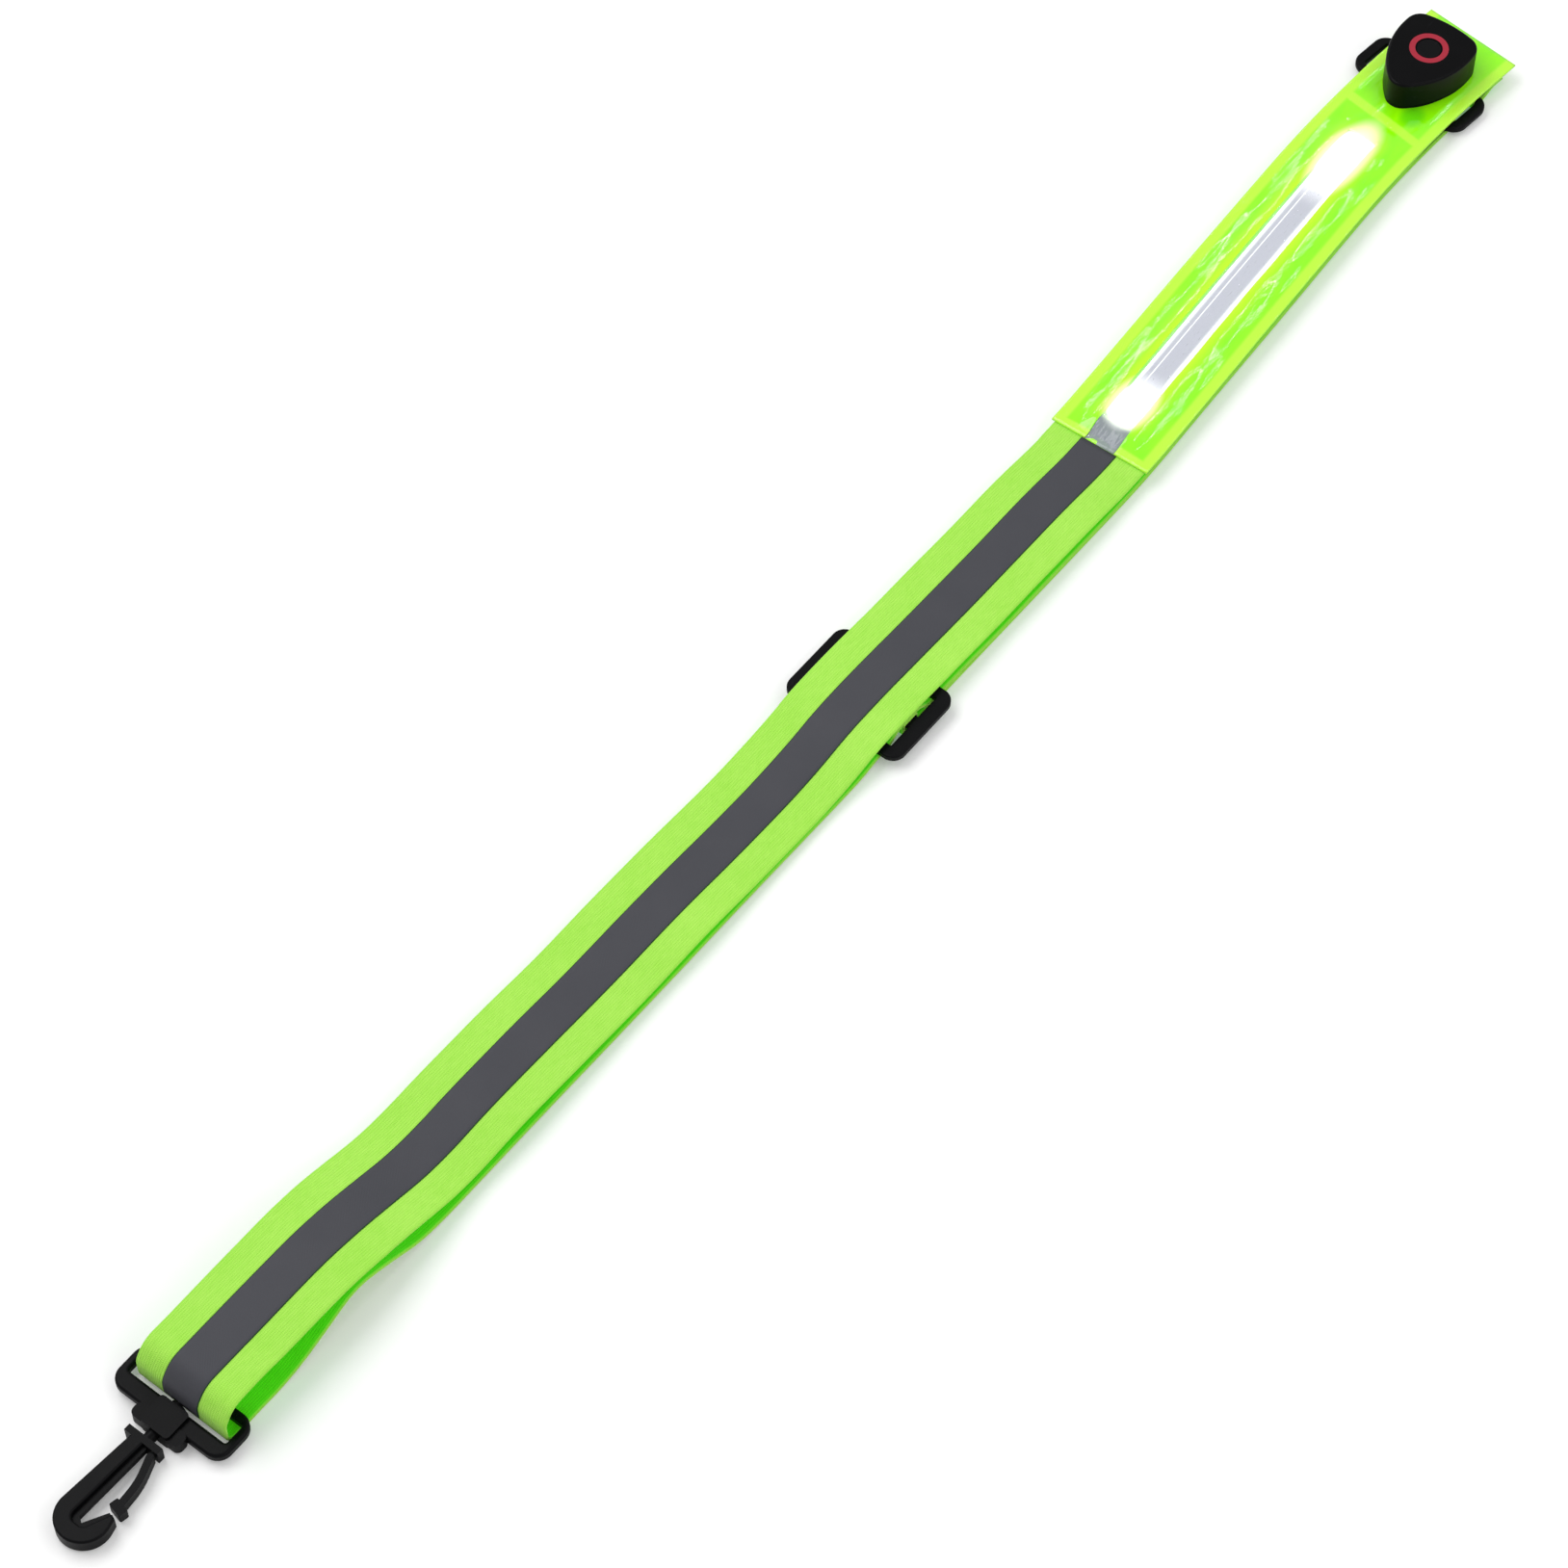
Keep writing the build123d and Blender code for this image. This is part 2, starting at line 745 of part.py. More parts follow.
with BuildPart() as controller_seal:
    with BuildSketch(control.offset(floor_thick)):
        add(control_outline(0.2))
        add(control_outline(shell_wall - 0.1), mode=Mode.SUBTRACT)
    extrude(amount=seal_thick)
finish(controller_seal, "controller_seal")

with BuildPart() as controller_cover:
    with BuildSketch(control.offset(cover_z)):
        add(control_outline(0))
    extrude(amount=control_height - cover_z)
    fillet(controller_cover.edges().group_by(Axis.Z)[-1], 1.1)
    with BuildSketch(control.offset(cover_z)):
        add(control_outline(shell_wall))
    extrude(amount=roof_z - cover_z, mode=Mode.SUBTRACT)
    with BuildSketch(control.offset(floor_thick + 0.4)):
        with Locations(*screw_spots):
            Circle(boss_radius)
    extrude(amount=roof_z - floor_thick)
    with BuildSketch(control.offset(board_top + 0.05)):
        with Locations((cell_x, 0)):
            with GridLocations(2 * post_reach, 2 * post_reach, 2, 2):
                Circle(post_radius)
    extrude(amount=roof_z - board_top)
    with BuildSketch(control.offset(floor_thick)):
        with Locations(*screw_spots):
            Circle(screw_radius + 0.02)
    extrude(amount=5.0, mode=Mode.SUBTRACT)
    with BuildSketch(control.offset(roof_z - 1.0)):
        Circle(button_radius + button_gap)
    extrude(amount=5.0, mode=Mode.SUBTRACT)
    with BuildSketch(control.offset(control_height - badge_depth)):
        Circle(badge_outer + 0.02)
        Circle(badge_inner - 0.02, mode=Mode.SUBTRACT)
    extrude(amount=badge_depth, mode=Mode.SUBTRACT)
finish(controller_cover, "controller_cover")

with BuildPart() as red_ring:
    with BuildSketch(control.offset(control_height - badge_depth)):
        Circle(badge_outer)
        Circle(badge_inner, mode=Mode.SUBTRACT)
    extrude(amount=badge_depth)
finish(red_ring, "red_ring")

with BuildPart() as push_button:
    with BuildSketch(control.offset(flange_low)):
        Circle(flange_radius)
    extrude(amount=flange_thick)
    with BuildSketch(control.offset(flange_low)):
        Circle(button_radius)
    extrude(amount=control_height - button_recess - flange_low)
    fillet(push_button.edges().group_by(Axis.Z)[-1], 0.3)
finish(push_button, "push_button")

with BuildPart() as switch_plunger:
    with BuildSketch(control.offset(flange_low)):
        Circle(plunger_radius)
    extrude(amount=-(button_travel + 0.2))
finish(switch_plunger, "switch_plunger")

with BuildPart() as tactile_switch:
    with BuildSketch(control.offset(board_top)):
        Rectangle(switch_side, switch_side)
    extrude(amount=switch_height)
    with BuildSketch(control.offset(switch_top)):
        Circle(plunger_radius + 0.05)
    extrude(amount=-(button_travel + 0.25), mode=Mode.SUBTRACT)
finish(tactile_switch, "tactile_switch")

with BuildPart() as circuit_board:
    with BuildSketch(control.offset(board_top)):
        with Locations((cell_x, 0)):
            Circle(board_radius)
    extrude(amount=-board_thick)
finish(circuit_board, "circuit_board")

for index, name in enumerate(["coin_cell_lower", "coin_cell_upper"]):
    with BuildPart() as coin_cell:
        with BuildSketch(control.offset(cell_z + index * (cell_thick + 0.02))):
            with Locations((cell_x, 0)):
                Circle(cell_radius)
        extrude(amount=cell_thick)
        fillet(coin_cell.edges(), 0.25)
    finish(coin_cell, name)

cells_top = cell_z + 2 * cell_thick + 0.02
for name, height in [("cell_contact_lower", floor_thick + 0.02), ("cell_contact_upper", cells_top + 0.02)]:
    with BuildPart() as cell_contact:
        with BuildSketch(control.offset(height)):
            with Locations((cell_x, 0)):
                Circle(4.0)
                Rectangle(17.0, 3.0)
        extrude(amount=contact_thick)
    finish(cell_contact, name)

with BuildPart() as cover_screws:
    with BuildSketch(control.offset(0.05)):
        with Locations(*screw_spots):
            Circle(screw_head)
    extrude(amount=0.5)
    with BuildSketch(control.offset(0.05)):
        with Locations(*screw_spots):
            Circle(screw_radius)
    extrude(amount=5.2)
finish(cover_screws, "cover_screws")
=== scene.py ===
"""Looks of the LED safety sash: ribbed fluorescent webbing with a reflective tape, a glossy film
pouch with a lit strip under a clear window, a black controller and black moulded hardware.

Lengths are in millimetres until a mesh is made. Places along the sash are stations, counted from
the hook frame's webbing bar towards the controller.
"""
from math import atan2, cos, hypot, pi, radians, sin, tan

import bmesh
import bpy
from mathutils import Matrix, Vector


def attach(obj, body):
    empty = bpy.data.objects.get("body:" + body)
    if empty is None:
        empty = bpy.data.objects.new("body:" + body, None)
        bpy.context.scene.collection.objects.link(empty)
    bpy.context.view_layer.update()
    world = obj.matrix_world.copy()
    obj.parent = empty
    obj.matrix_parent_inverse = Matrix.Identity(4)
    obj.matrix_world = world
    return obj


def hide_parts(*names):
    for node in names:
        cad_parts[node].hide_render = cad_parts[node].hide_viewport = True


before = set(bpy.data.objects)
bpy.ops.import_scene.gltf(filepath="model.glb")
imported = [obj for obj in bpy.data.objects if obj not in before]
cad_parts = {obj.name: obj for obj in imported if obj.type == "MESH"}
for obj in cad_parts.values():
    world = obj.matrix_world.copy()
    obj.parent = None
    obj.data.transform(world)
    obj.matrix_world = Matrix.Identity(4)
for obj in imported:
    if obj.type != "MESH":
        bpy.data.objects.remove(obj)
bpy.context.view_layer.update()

MM = 0.001

# ---------------- sizes shared with the solids ----------------
MIDDLE_X = 328.2
MIDDLE_Y = 2.35
POUCH_X = 474.0
POUCH_Y = -2.5
SEAM_X = 664.0
SEAM_Y = 7.2
HEAD_TURN = radians(-5.5)
POUCH_END = 55.5            # distance past the cross weld
FILM_WIDTH = 41.0
SEAM_SLOPE = 0.12           # the cross weld's lean, along per across
OPENING = 6.3               # half width of the front film's opening
OPENING_END = 651.0
WINDOW_WIDTH = 13.2
WINDOW_END = 652.5
STRIP_WIDTH = 11.6
STRIP_START = 487.2
STRIP_END = 650.2

WEB_WIDTH = 39.0
WEB_THICK = 1.1
LAYER = WEB_THICK + 0.1
HOOK_RISE = 18.5
TAPE_WIDTH = 15.0
TAPE_THICK = 0.25
TAPE_LOW_Z = 5.3            # where the tape ends, inside the frame's slot

SLOT_LEG = -7.5
SLIDER_X = 339.25
SLIDER_START = SLIDER_X - 17.25
SLOT_1 = 325.325
SLOT_2 = SLIDER_X + 2.7
RING_START = 16.0
RING_END = 37.0
RING_BAR = 3.8

FIRST_Z = WEB_THICK / 2
SECOND_Z = FIRST_Z + LAYER
THIRD_Z = SECOND_Z + LAYER
SLIDER_Z = THIRD_Z + WEB_THICK / 2 + 0.1
LOOP_TOP_Z = SLIDER_Z + 1.7 + 0.1 + WEB_THICK / 2
PASS_Z = LOOP_TOP_Z + LAYER
OVER_RING_Z = 1.2 + 2.8 + 0.1 + WEB_THICK / 2
HEAD_Z = OVER_RING_Z + LAYER + 0.1


# ---------------- lines ----------------
def rounded(points, radii, step=2.0):
    """A line through points with each corner rounded, as points no further apart than step."""
    line = [Vector(points[0])]
    for index in range(1, len(points) - 1):
        before, here, after = (Vector(points[index + k]) for k in (-1, 0, 1))
        way_in = (here - before).normalized()
        way_out = (after - here).normalized()
        bend = way_in.angle_signed(way_out) * -1
        room = 0.5 * min((here - before).length, (after - here).length)
        wanted = radii[index - 1]
        cut = room if wanted is None else min(room, wanted * tan(abs(bend) / 2))
        start = here - way_in * cut
        end = here + way_out * cut
        radius = cut / max(tan(abs(bend) / 2), 1e-6)
        pieces = max(3, int(abs(bend) / 0.18), int(abs(bend) * radius / step))
        side = 1.0 if bend > 0 else -1.0
        centre = start + Vector((-way_in.y, way_in.x)) * radius * side
        for k in range(pieces + 1):
            turn = bend * k / pieces
            arm = start - centre
            line.append(centre + Vector((
                arm.x * cos(turn) - arm.y * sin(turn),
                arm.x * sin(turn) + arm.y * cos(turn),
            )))
    line.append(Vector(points[-1]))
    filled = [line[0]]
    for point in line[1:]:
        gap = (point - filled[-1]).length
        if gap < 0.02:
            continue
        parts = max(1, int(gap / step + 0.5))
        start = filled[-1]
        for k in range(1, parts + 1):
            filled.append(start.lerp(point, k / parts))
    return filled


PLAN_CORNERS = [
    (-30.0, 0.0),
    (POUCH_X, POUCH_Y),
    (SEAM_X, SEAM_Y),
    (SEAM_X + 120.0 * cos(HEAD_TURN), SEAM_Y + 120.0 * sin(HEAD_TURN)),
]
PLAN_LINE = rounded(PLAN_CORNERS, [600.0, 600.0], step=4.0)


def plan_at(station):
    """Sideways place and heading of the band's middle at a station."""
    for a, b in zip(PLAN_LINE, PLAN_LINE[1:]):
        if station <= b.x:
            break
    share = (station - a.x) / (b.x - a.x)
    return a.y + (b.y - a.y) * share, atan2(b.y - a.y, b.x - a.x)


def at(station, height, across=0.0):
    """A point in metres: a station, a height and a distance across the band."""
    y, heading = plan_at(station)
    return Vector((
        (station - across * sin(heading) - MIDDLE_X) * MM,
        (y + across * cos(heading) - MIDDLE_Y) * MM,
        height * MM,
    ))


def past_seam(distance):
    """Station of a point past the cross weld."""
    return SEAM_X + distance * cos(HEAD_TURN)


def normals(line):
    """Unit vectors to the left of a line at each of its points."""
    result = []
    for index in range(len(line)):
        way = line[min(index + 1, len(line) - 1)] - line[max(index - 1, 0)]
        way.normalize()
        result.append(Vector((-way.y, way.x)))
    return result


def lengths(line):
    """Distance along a line to each of its points."""
    total = [0.0]
    for a, b in zip(line, line[1:]):
        total.append(total[-1] + (b - a).length)
    return total


# ---------------- mesh makers ----------------
def piece_from(mesh, name, materials, smooth=True):
    """An object made from a mesh, linked to the scene. The caller says what it rides on."""
    data = bpy.data.meshes.new(name)
    mesh.to_mesh(data)
    mesh.free()
    for material in materials:
        data.materials.append(material)
    for polygon in data.polygons:
        polygon.use_smooth = smooth
    piece = bpy.data.objects.new(name, data)
    bpy.context.scene.collection.objects.link(piece)
    return piece


def flat_section(width, thick, columns, edge_columns=3):
    """Cross-section of a band as (across, up, side) points, counter-clockwise from above left."""
    half = width / 2
    round_in = thick / 2
    section = []
    for k in range(columns + 1):
        section.append((-half + round_in + (width - thick) * k / columns, round_in, 0))
    for k in range(1, edge_columns + 1):
        angle = pi / 2 - pi * k / (edge_columns + 1)
        section.append((half - round_in + round_in * cos(angle), round_in * sin(angle), 1))
    for k in range(columns + 1):
        section.append((half - round_in - (width - thick) * k / columns, -round_in, 2))
    for k in range(1, edge_columns + 1):
        angle = -pi / 2 - pi * k / (edge_columns + 1)
        section.append((-half + round_in + round_in * cos(angle), round_in * sin(angle), 1))
    return section


def band(name, line, section, materials, width_at=None, bulge=None, sway=None, material_of=None):
    """A closed strip that carries a section along a side profile, with its own weave map.

    width_at scales the section across by the share of the length, bulge lifts a point by
    (station, across), and sway moves the whole section sideways.
    """
    mesh = bmesh.new()
    weave = mesh.loops.layers.uv.new("weave")
    up = normals(line)
    run = lengths(line)
    rings = []
    for index, point in enumerate(line):
        share = run[index] / run[-1]
        wide = width_at(point.x, share) if width_at else 1.0
        aside = sway(point.x, share) if sway else 0.0
        ring = []
        for across, lift, _ in section:
            rise = lift + (bulge(point.x, across, lift, share) if bulge else 0.0)
            place = point + up[index] * rise
            ring.append(mesh.verts.new(at(place.x, place.y, across * wide + aside)))
        rings.append(ring)
    count = len(section)
    for index in range(len(rings) - 1):
        for k in range(count):
            following = (k + 1) % count
            face = mesh.faces.new((
                rings[index][k], rings[index][following],
                rings[index + 1][following], rings[index + 1][k],
            ))
            side = max(section[k][2], section[following][2])
            if section[k][2] != section[following][2]:
                side = 1
            face.material_index = material_of(side) if material_of else 0
            corners = ((index, k), (index, following), (index + 1, following), (index + 1, k))
            for loop, (ring_index, column) in zip(face.loops, corners):
                loop[weave].uv = (section[column][0], run[ring_index])
    for ring, last in ((rings[0], False), (rings[-1], True)):
        face = mesh.faces.new(ring if not last else ring[::-1])
        for loop, spot in zip(face.loops, section if not last else section[::-1]):
            loop[weave].uv = (spot[0], run[-1] if last else 0.0)
    bmesh.ops.recalc_face_normals(mesh, faces=mesh.faces)
    return piece_from(mesh, name, materials)


# ---------------- shader maths ----------------
class Wire:
    """A node socket that takes part in Python expressions."""

    def __init__(self, shader, socket):
        self.shader = shader
        self.socket = socket

    def _math(self, operation, *values):
        return self.shader.node(
            "ShaderNodeMath", {"operation": operation}, dict(enumerate(values))
        )

    def __add__(self, other):
        return self._math("ADD", self, other)

    __radd__ = __add__

    def __sub__(self, other):
        return self._math("SUBTRACT", self, other)

    def __rsub__(self, other):
        return self._math("SUBTRACT", other, self)

    def __mul__(self, other):
        return self._math("MULTIPLY", self, other)

    __rmul__ = __mul__

    def __abs__(self):
        return self._math("ABSOLUTE", self)

    def wave(self):
        return self._math("SINE", self)

    def stripes(self, pitch):
        """A sine wave from -1 to 1 that repeats after a pitch."""
        return (self * (2 * pi / pitch)).wave()

    def under(self, other):
        return self._math("MINIMUM", self, other)

    def over(self, other):
        return self._math("MAXIMUM", self, other)

    def step(self, low, high):
        """0 below low and 1 above high, smooth in between."""
        return self.shader.node(
            "ShaderNodeMapRange", {"interpolation_type": "SMOOTHSTEP"},
            {"Value": self, "From Min": low, "From Max": high},
        )


class Shader:
    """A node material with one Principled surface."""

    def __init__(self, name):
        self.material = bpy.data.materials.new(name)
        self.material.use_nodes = True
        self.tree = self.material.node_tree
        self.tree.nodes.clear()
        self.surface = self.tree.nodes.new("ShaderNodeBsdfPrincipled")
        output = self.tree.nodes.new("ShaderNodeOutputMaterial")
        self.tree.links.new(self.surface.outputs["BSDF"], output.inputs["Surface"])

    def put(self, socket, value):
        """Links a wire to a socket, or sets the socket to a plain value."""
        if isinstance(value, Wire):
            self.tree.links.new(value.socket, socket)
        else:
            socket.default_value = value

    def node(self, kind, settings=None, values=None, out=0):
        """Any node: its type, its settings, and the values or links of its sockets."""
        node = self.tree.nodes.new(kind)
        for key, value in (settings or {}).items():
            setattr(node, key, value)
        for key, value in (values or {}).items():
            self.put(node.inputs[key], value)
        return Wire(self, node.outputs[out])

    def place(self):
        """The point's place on the object, in metres."""
        return self.node("ShaderNodeTexCoord", out="Object")

    def weave(self):
        """Across and along the band in millimetres, and both together as a vector."""
        both = self.node("ShaderNodeUVMap", {"uv_map": "weave"})
        across = self.node("ShaderNodeSeparateXYZ", values={0: both})
        return across, Wire(self, across.socket.node.outputs[1]), both

    def noise(self, where, scale, detail=2.0, roughness=0.5, stretch=None):
        """Cloudy noise from 0 to 1. Stretch below 1 draws it out along that axis."""
        if stretch:
            where = self.node(
                "ShaderNodeVectorMath", {"operation": "MULTIPLY"}, {0: where, 1: stretch}
            )
        return self.node(
            "ShaderNodeTexNoise", values={
                "Vector": where, "Scale": scale, "Detail": detail, "Roughness": roughness,
            }
        )

    def mix(self, share, first, second):
        """One colour blended into another."""
        node = self.tree.nodes.new("ShaderNodeMix")
        node.data_type = "RGBA"
        for socket, value in ((0, share), (6, first), (7, second)):
            self.put(node.inputs[socket], value)
        return Wire(self, node.outputs[2])

    def spot(self, along, across, centre, length, width):
        """A round patch on a band: 1 in its middle and 0 outside its half length and half width."""
        far = (along - centre) * (1 / length)
        aside = across * (1 / width)
        return 1.0 - (far * far + aside * aside).step(0.05, 1.0)

    def bump(self, height, distance, strength):
        """A bumped normal: distance is in metres."""
        values = {"Height": height, "Distance": distance, "Strength": strength}
        return self.node("ShaderNodeBump", values=values)

    def finish(self, **sockets):
        """Sets the surface's sockets, with _ for a space, and gives the material."""
        for name, value in sockets.items():
            self.put(self.surface.inputs[name.replace("_", " ")], value)
        return self.material


def colour(red, green, blue):
    """A display colour, 0 to 255 each, as the linear colour that a shader takes."""
    def linear(value):
        value /= 255
        return value / 12.92 if value <= 0.04045 else ((value + 0.055) / 1.055) ** 2.4
    return (linear(red), linear(green), linear(blue), 1.0)


# ---------------- materials ----------------
RIB_PITCH = 0.9             # of the webbing's ribs, across it
PICK_PITCH = 0.62           # of its picks, along it
STIPPLE_PITCH = 0.8         # of the welds' stipple
PRISM_PITCH = 0.55          # of the diffuser's prisms
BLACK = (0.0, 0.0, 0.0, 1.0)
WHITE = (1.0, 1.0, 1.0, 1.0)


def webbing_material(name, face, hollow, rim, painted_glow=0.0):
    """Ribbed elastic webbing: fine ribs along it, fine picks across it, a tight selvedge. A paler
    rim colour paints a highlight along the edge, and the glow strength paints a glow in the
    webbing's colour.
    """
    s = Shader(name)
    across, along, both = s.weave()
    ribs = across.stripes(RIB_PITCH) * 0.5 + 0.5
    slant = across.stripes(2 * RIB_PITCH) * 1.3
    picks = (along * (2 * pi / PICK_PITCH) + slant).wave() * 0.5 + 0.5
    heather = s.noise(both, 0.9, 3.0, 0.6, stretch=(1.0, 0.22, 1.0))
    patches = s.noise(both, 0.045, 2.0)
    edge = abs(across).step(WEB_WIDTH / 2 - 1.6, WEB_WIDTH / 2 - 0.5)
    depth = ribs * 0.55 + picks * 0.3
    shade = (1.0 - depth) * 0.5 + (heather - 0.5) * 0.7 + (patches - 0.5) * 0.5
    base = s.mix(shade.over(0.0).under(1.0), face, hollow)
    base = s.mix(edge * 0.6, base, rim)
    height = depth + edge * 0.6 + heather * 0.35
    return s.finish(
        Base_Color=base,
        Roughness=0.78 + (heather - 0.5) * 0.2,
        Sheen_Weight=0.15,
        Sheen_Roughness=0.4,
        Specular_IOR_Level=0.25,
        Emission_Color=base,
        Emission_Strength=painted_glow,
        Normal=s.bump(height, 0.00024, 0.9),
    )


def tape_material():
    """Matte grey retroreflective fabric with a dark green edge and a faint bead texture."""
    s = Shader("reflective_tape")
    across, along, both = s.weave()
    beads = s.noise(both, 6.0, 2.0, 0.6)
    clouds = s.noise(both, 0.05, 3.0, 0.5)
    edge = abs(across).step(TAPE_WIDTH / 2 - 0.42, TAPE_WIDTH / 2 - 0.18)
    twill = (across + along).stripes(0.7) * 0.5 + 0.5
    base = s.mix(clouds, colour(58, 59, 65), colour(68, 68, 73))
    base = s.mix(beads * 0.35, base, colour(86, 86, 92))
    base = s.mix(edge, base, colour(20, 62, 32))
    return s.finish(
        Base_Color=base,
        Roughness=0.5 + beads * 0.2,
        Metallic=0.08,
        Specular_IOR_Level=0.2,
        Normal=s.bump(beads * 0.5 + twill * 0.5, 0.00005, 0.5),
    )


def moulding_material(name, dark, pale, roughness=0.34):
    """Black moulded plastic: faint flow marks, fine spark texture, edges worn a little paler."""
    s = Shader(name)
    where = s.place()
    cloud = s.noise(where, 90.0, 3.0)
    grain = s.noise(where, 2600.0, 2.0, 0.6)
    scuffs = s.noise(where, 420.0, 4.0, 0.65, stretch=(0.25, 1.0, 1.0)).step(0.6, 0.75)
    base = s.mix(cloud, dark, pale)
    base = s.mix(scuffs * 0.25, base, colour(44, 44, 47))
    return s.finish(
        Base_Color=base,
        Roughness=roughness + (cloud - 0.5) * 0.16 + scuffs * 0.12,
        Specular_IOR_Level=0.08,
        Normal=s.bump(grain * 0.6 + cloud, 0.00006, 0.5),
    )


def film_material(name, middle, border):
    """Glossy soft PVC film with slow ripples and a paler welded border, with a painted glow and
    painted bloom from the lit strip, and a patch of painted shade by the cross weld.
    """
    s = Shader(name)
    across, along, both = s.weave()
    ripples = s.noise(both, 0.16, 3.0, 0.45, stretch=(1.0, 0.35, 1.0))
    fine = s.noise(both, 1.4, 3.0, 0.6)
    weld = abs(across).step(15.6, 17.2)
    seam = 1.0 - abs(along - (SEAM_X - POUCH_X) - across * SEAM_SLOPE).step(1.4, 2.6)
    lower = 1.0 - along.step(3.0, 4.2)
    # The film round the strip's opening is painted paler and given emission: a painted glow of the
    # strip's light.
    halo = 1.0 - abs(across).step(6.5, 12.5)
    inside = along.step(6.0, 16.0) * (1.0 - along.step(172.0, 186.0))
    painted_glow = halo * inside
    bloom = s.spot(along, across, 21.0, 17.0, 10.0).over(s.spot(along, across, 163.0, 27.0, 10.5))
    # A darker green patch beside the cross weld: painted shade on a creased facet of the film.
    painted_shade_facet = s.spot(along, across + 8.0, 198.0, 7.0, 6.0)
    border_mask = weld.over(seam).over(lower).under(1.0)
    stipple = across.stripes(STIPPLE_PITCH) * along.stripes(STIPPLE_PITCH) * border_mask
    base = s.mix((ripples - 0.35) * 1.4, middle, colour(120, 238, 0))
    base = s.mix(border_mask * 0.85, base, border)
    base = s.mix(painted_shade_facet * 0.7, base, colour(74, 206, 12))
    base = s.mix(painted_glow * 0.8, base, colour(186, 255, 24))
    base = s.mix(bloom, base, colour(244, 255, 190))
    lit = s.mix(painted_glow, BLACK, (0.07, 0.16, 0.0, 1.0))
    return s.finish(
        Base_Color=base,
        Roughness=0.07 + fine * 0.05 + border_mask * 0.1,
        Coat_Weight=0.4,
        Coat_Roughness=0.03,
        IOR=1.53,
        Emission_Color=s.mix(bloom, lit, (0.75, 0.85, 0.45, 1.0)),
        Emission_Strength=1.0,
        Normal=s.bump(ripples * 2.2 + fine * 0.06 + stipple * 0.06, 0.0006, 0.5),
    )


def window_material():
    """Clear film: nearly invisible, with a soft ripple that catches light in lines, and pale
    streaks along it painted as highlight lines.
    """
    s = Shader("clear_window_film")
    across, along, both = s.weave()
    ripples = s.noise(both, 0.22, 3.0, 0.5, stretch=(1.0, 0.3, 1.0))
    # Pale, more opaque streaks along the window in a near-white colour: painted highlight lines.
    painted_highlight_streaks = s.noise(both, 1.1, 2.0, 0.6, stretch=(1.0, 0.2, 1.0)).step(0.62, 0.74)
    empty = 1.0 - along.step(9.0, 13.5)
    bloom = s.spot(along, across, 20.0, 13.0, 10.0).over(s.spot(along, across, 165.0, 22.0, 10.0))
    base = s.mix(empty, colour(238, 242, 248), colour(150, 156, 164))
    return s.finish(
        Base_Color=base,
        Roughness=0.08,
        Alpha=(0.14 + painted_highlight_streaks * 0.2).over(empty * 0.8).over(bloom * 0.85),
        IOR=1.5,
        Emission_Color=s.mix(bloom, BLACK, WHITE),
        Emission_Strength=1.0,
        Normal=s.bump(ripples * 2.4, 0.0009, 0.6),
    )


def glow_material():
    """Lit strip: a silver diffuser in the middle that burns out to white towards both lamps."""
    s = Shader("lit_strip")
    across, along, both = s.weave()
    length = STRIP_END - STRIP_START
    low_end = 1.0 - along.step(6.0, 26.0)
    high_end = along.step(length - 42.0, length - 18.0)
    ends = low_end.over(high_end)
    sides = abs(across).step(3.6, 5.6)
    crease = 1.0 - abs(across - 2.3).step(0.08, 0.3)
    mesh = across.stripes(PRISM_PITCH) * along.stripes(PRISM_PITCH)
    fine = s.noise(both, 3.2, 2.0, 0.6, stretch=(1.0, 0.25, 1.0))
    silver = s.mix(fine * 0.6 + mesh * 0.2 + 0.15, colour(140, 142, 152), colour(172, 174, 184))
    lit = ends.over(sides).over(crease * 0.6).under(1.0)
    return s.finish(
        Base_Color=s.mix(lit, silver, colour(252, 253, 255)),
        Roughness=0.35,
        Emission_Color=s.mix(lit, colour(112, 112, 122), WHITE),
        Emission_Strength=1.0,
        Normal=s.bump(mesh, 0.00004, 0.5),
    )


def plain_material(name, first, second, roughness, metallic=0.0, scale=300.0):
    """A quiet finish with a cloudy colour and a fine grain."""
    s = Shader(name)
    where = s.place()
    cloud = s.noise(where, scale, 3.0)
    grain = s.noise(where, scale * 12, 2.0)
    return s.finish(
        Base_Color=s.mix(cloud, first, second),
        Roughness=roughness + (grain - 0.5) * 0.1,
        Metallic=metallic,
        Normal=s.bump(grain, 0.00003, 0.5),
    )


def board_material():
    """Green circuit board with copper pads under a mask."""
    s = Shader("circuit_board")
    where = s.place()
    cells = s.node(
        "ShaderNodeTexVoronoi", {"distance": "CHEBYCHEV"}, {"Vector": where, "Scale": 420.0}
    )
    pads = 1.0 - cells.step(0.18, 0.24)
    return s.finish(
        Base_Color=s.mix(pads, colour(16, 88, 40), colour(206, 168, 84)),
        Roughness=0.4 - pads * 0.12,
        Metallic=pads * 0.9,
    )


OUTER = webbing_material("webbing_outer_face", colour(173, 232, 90), colour(136, 214, 50),
                         colour(156, 226, 74))
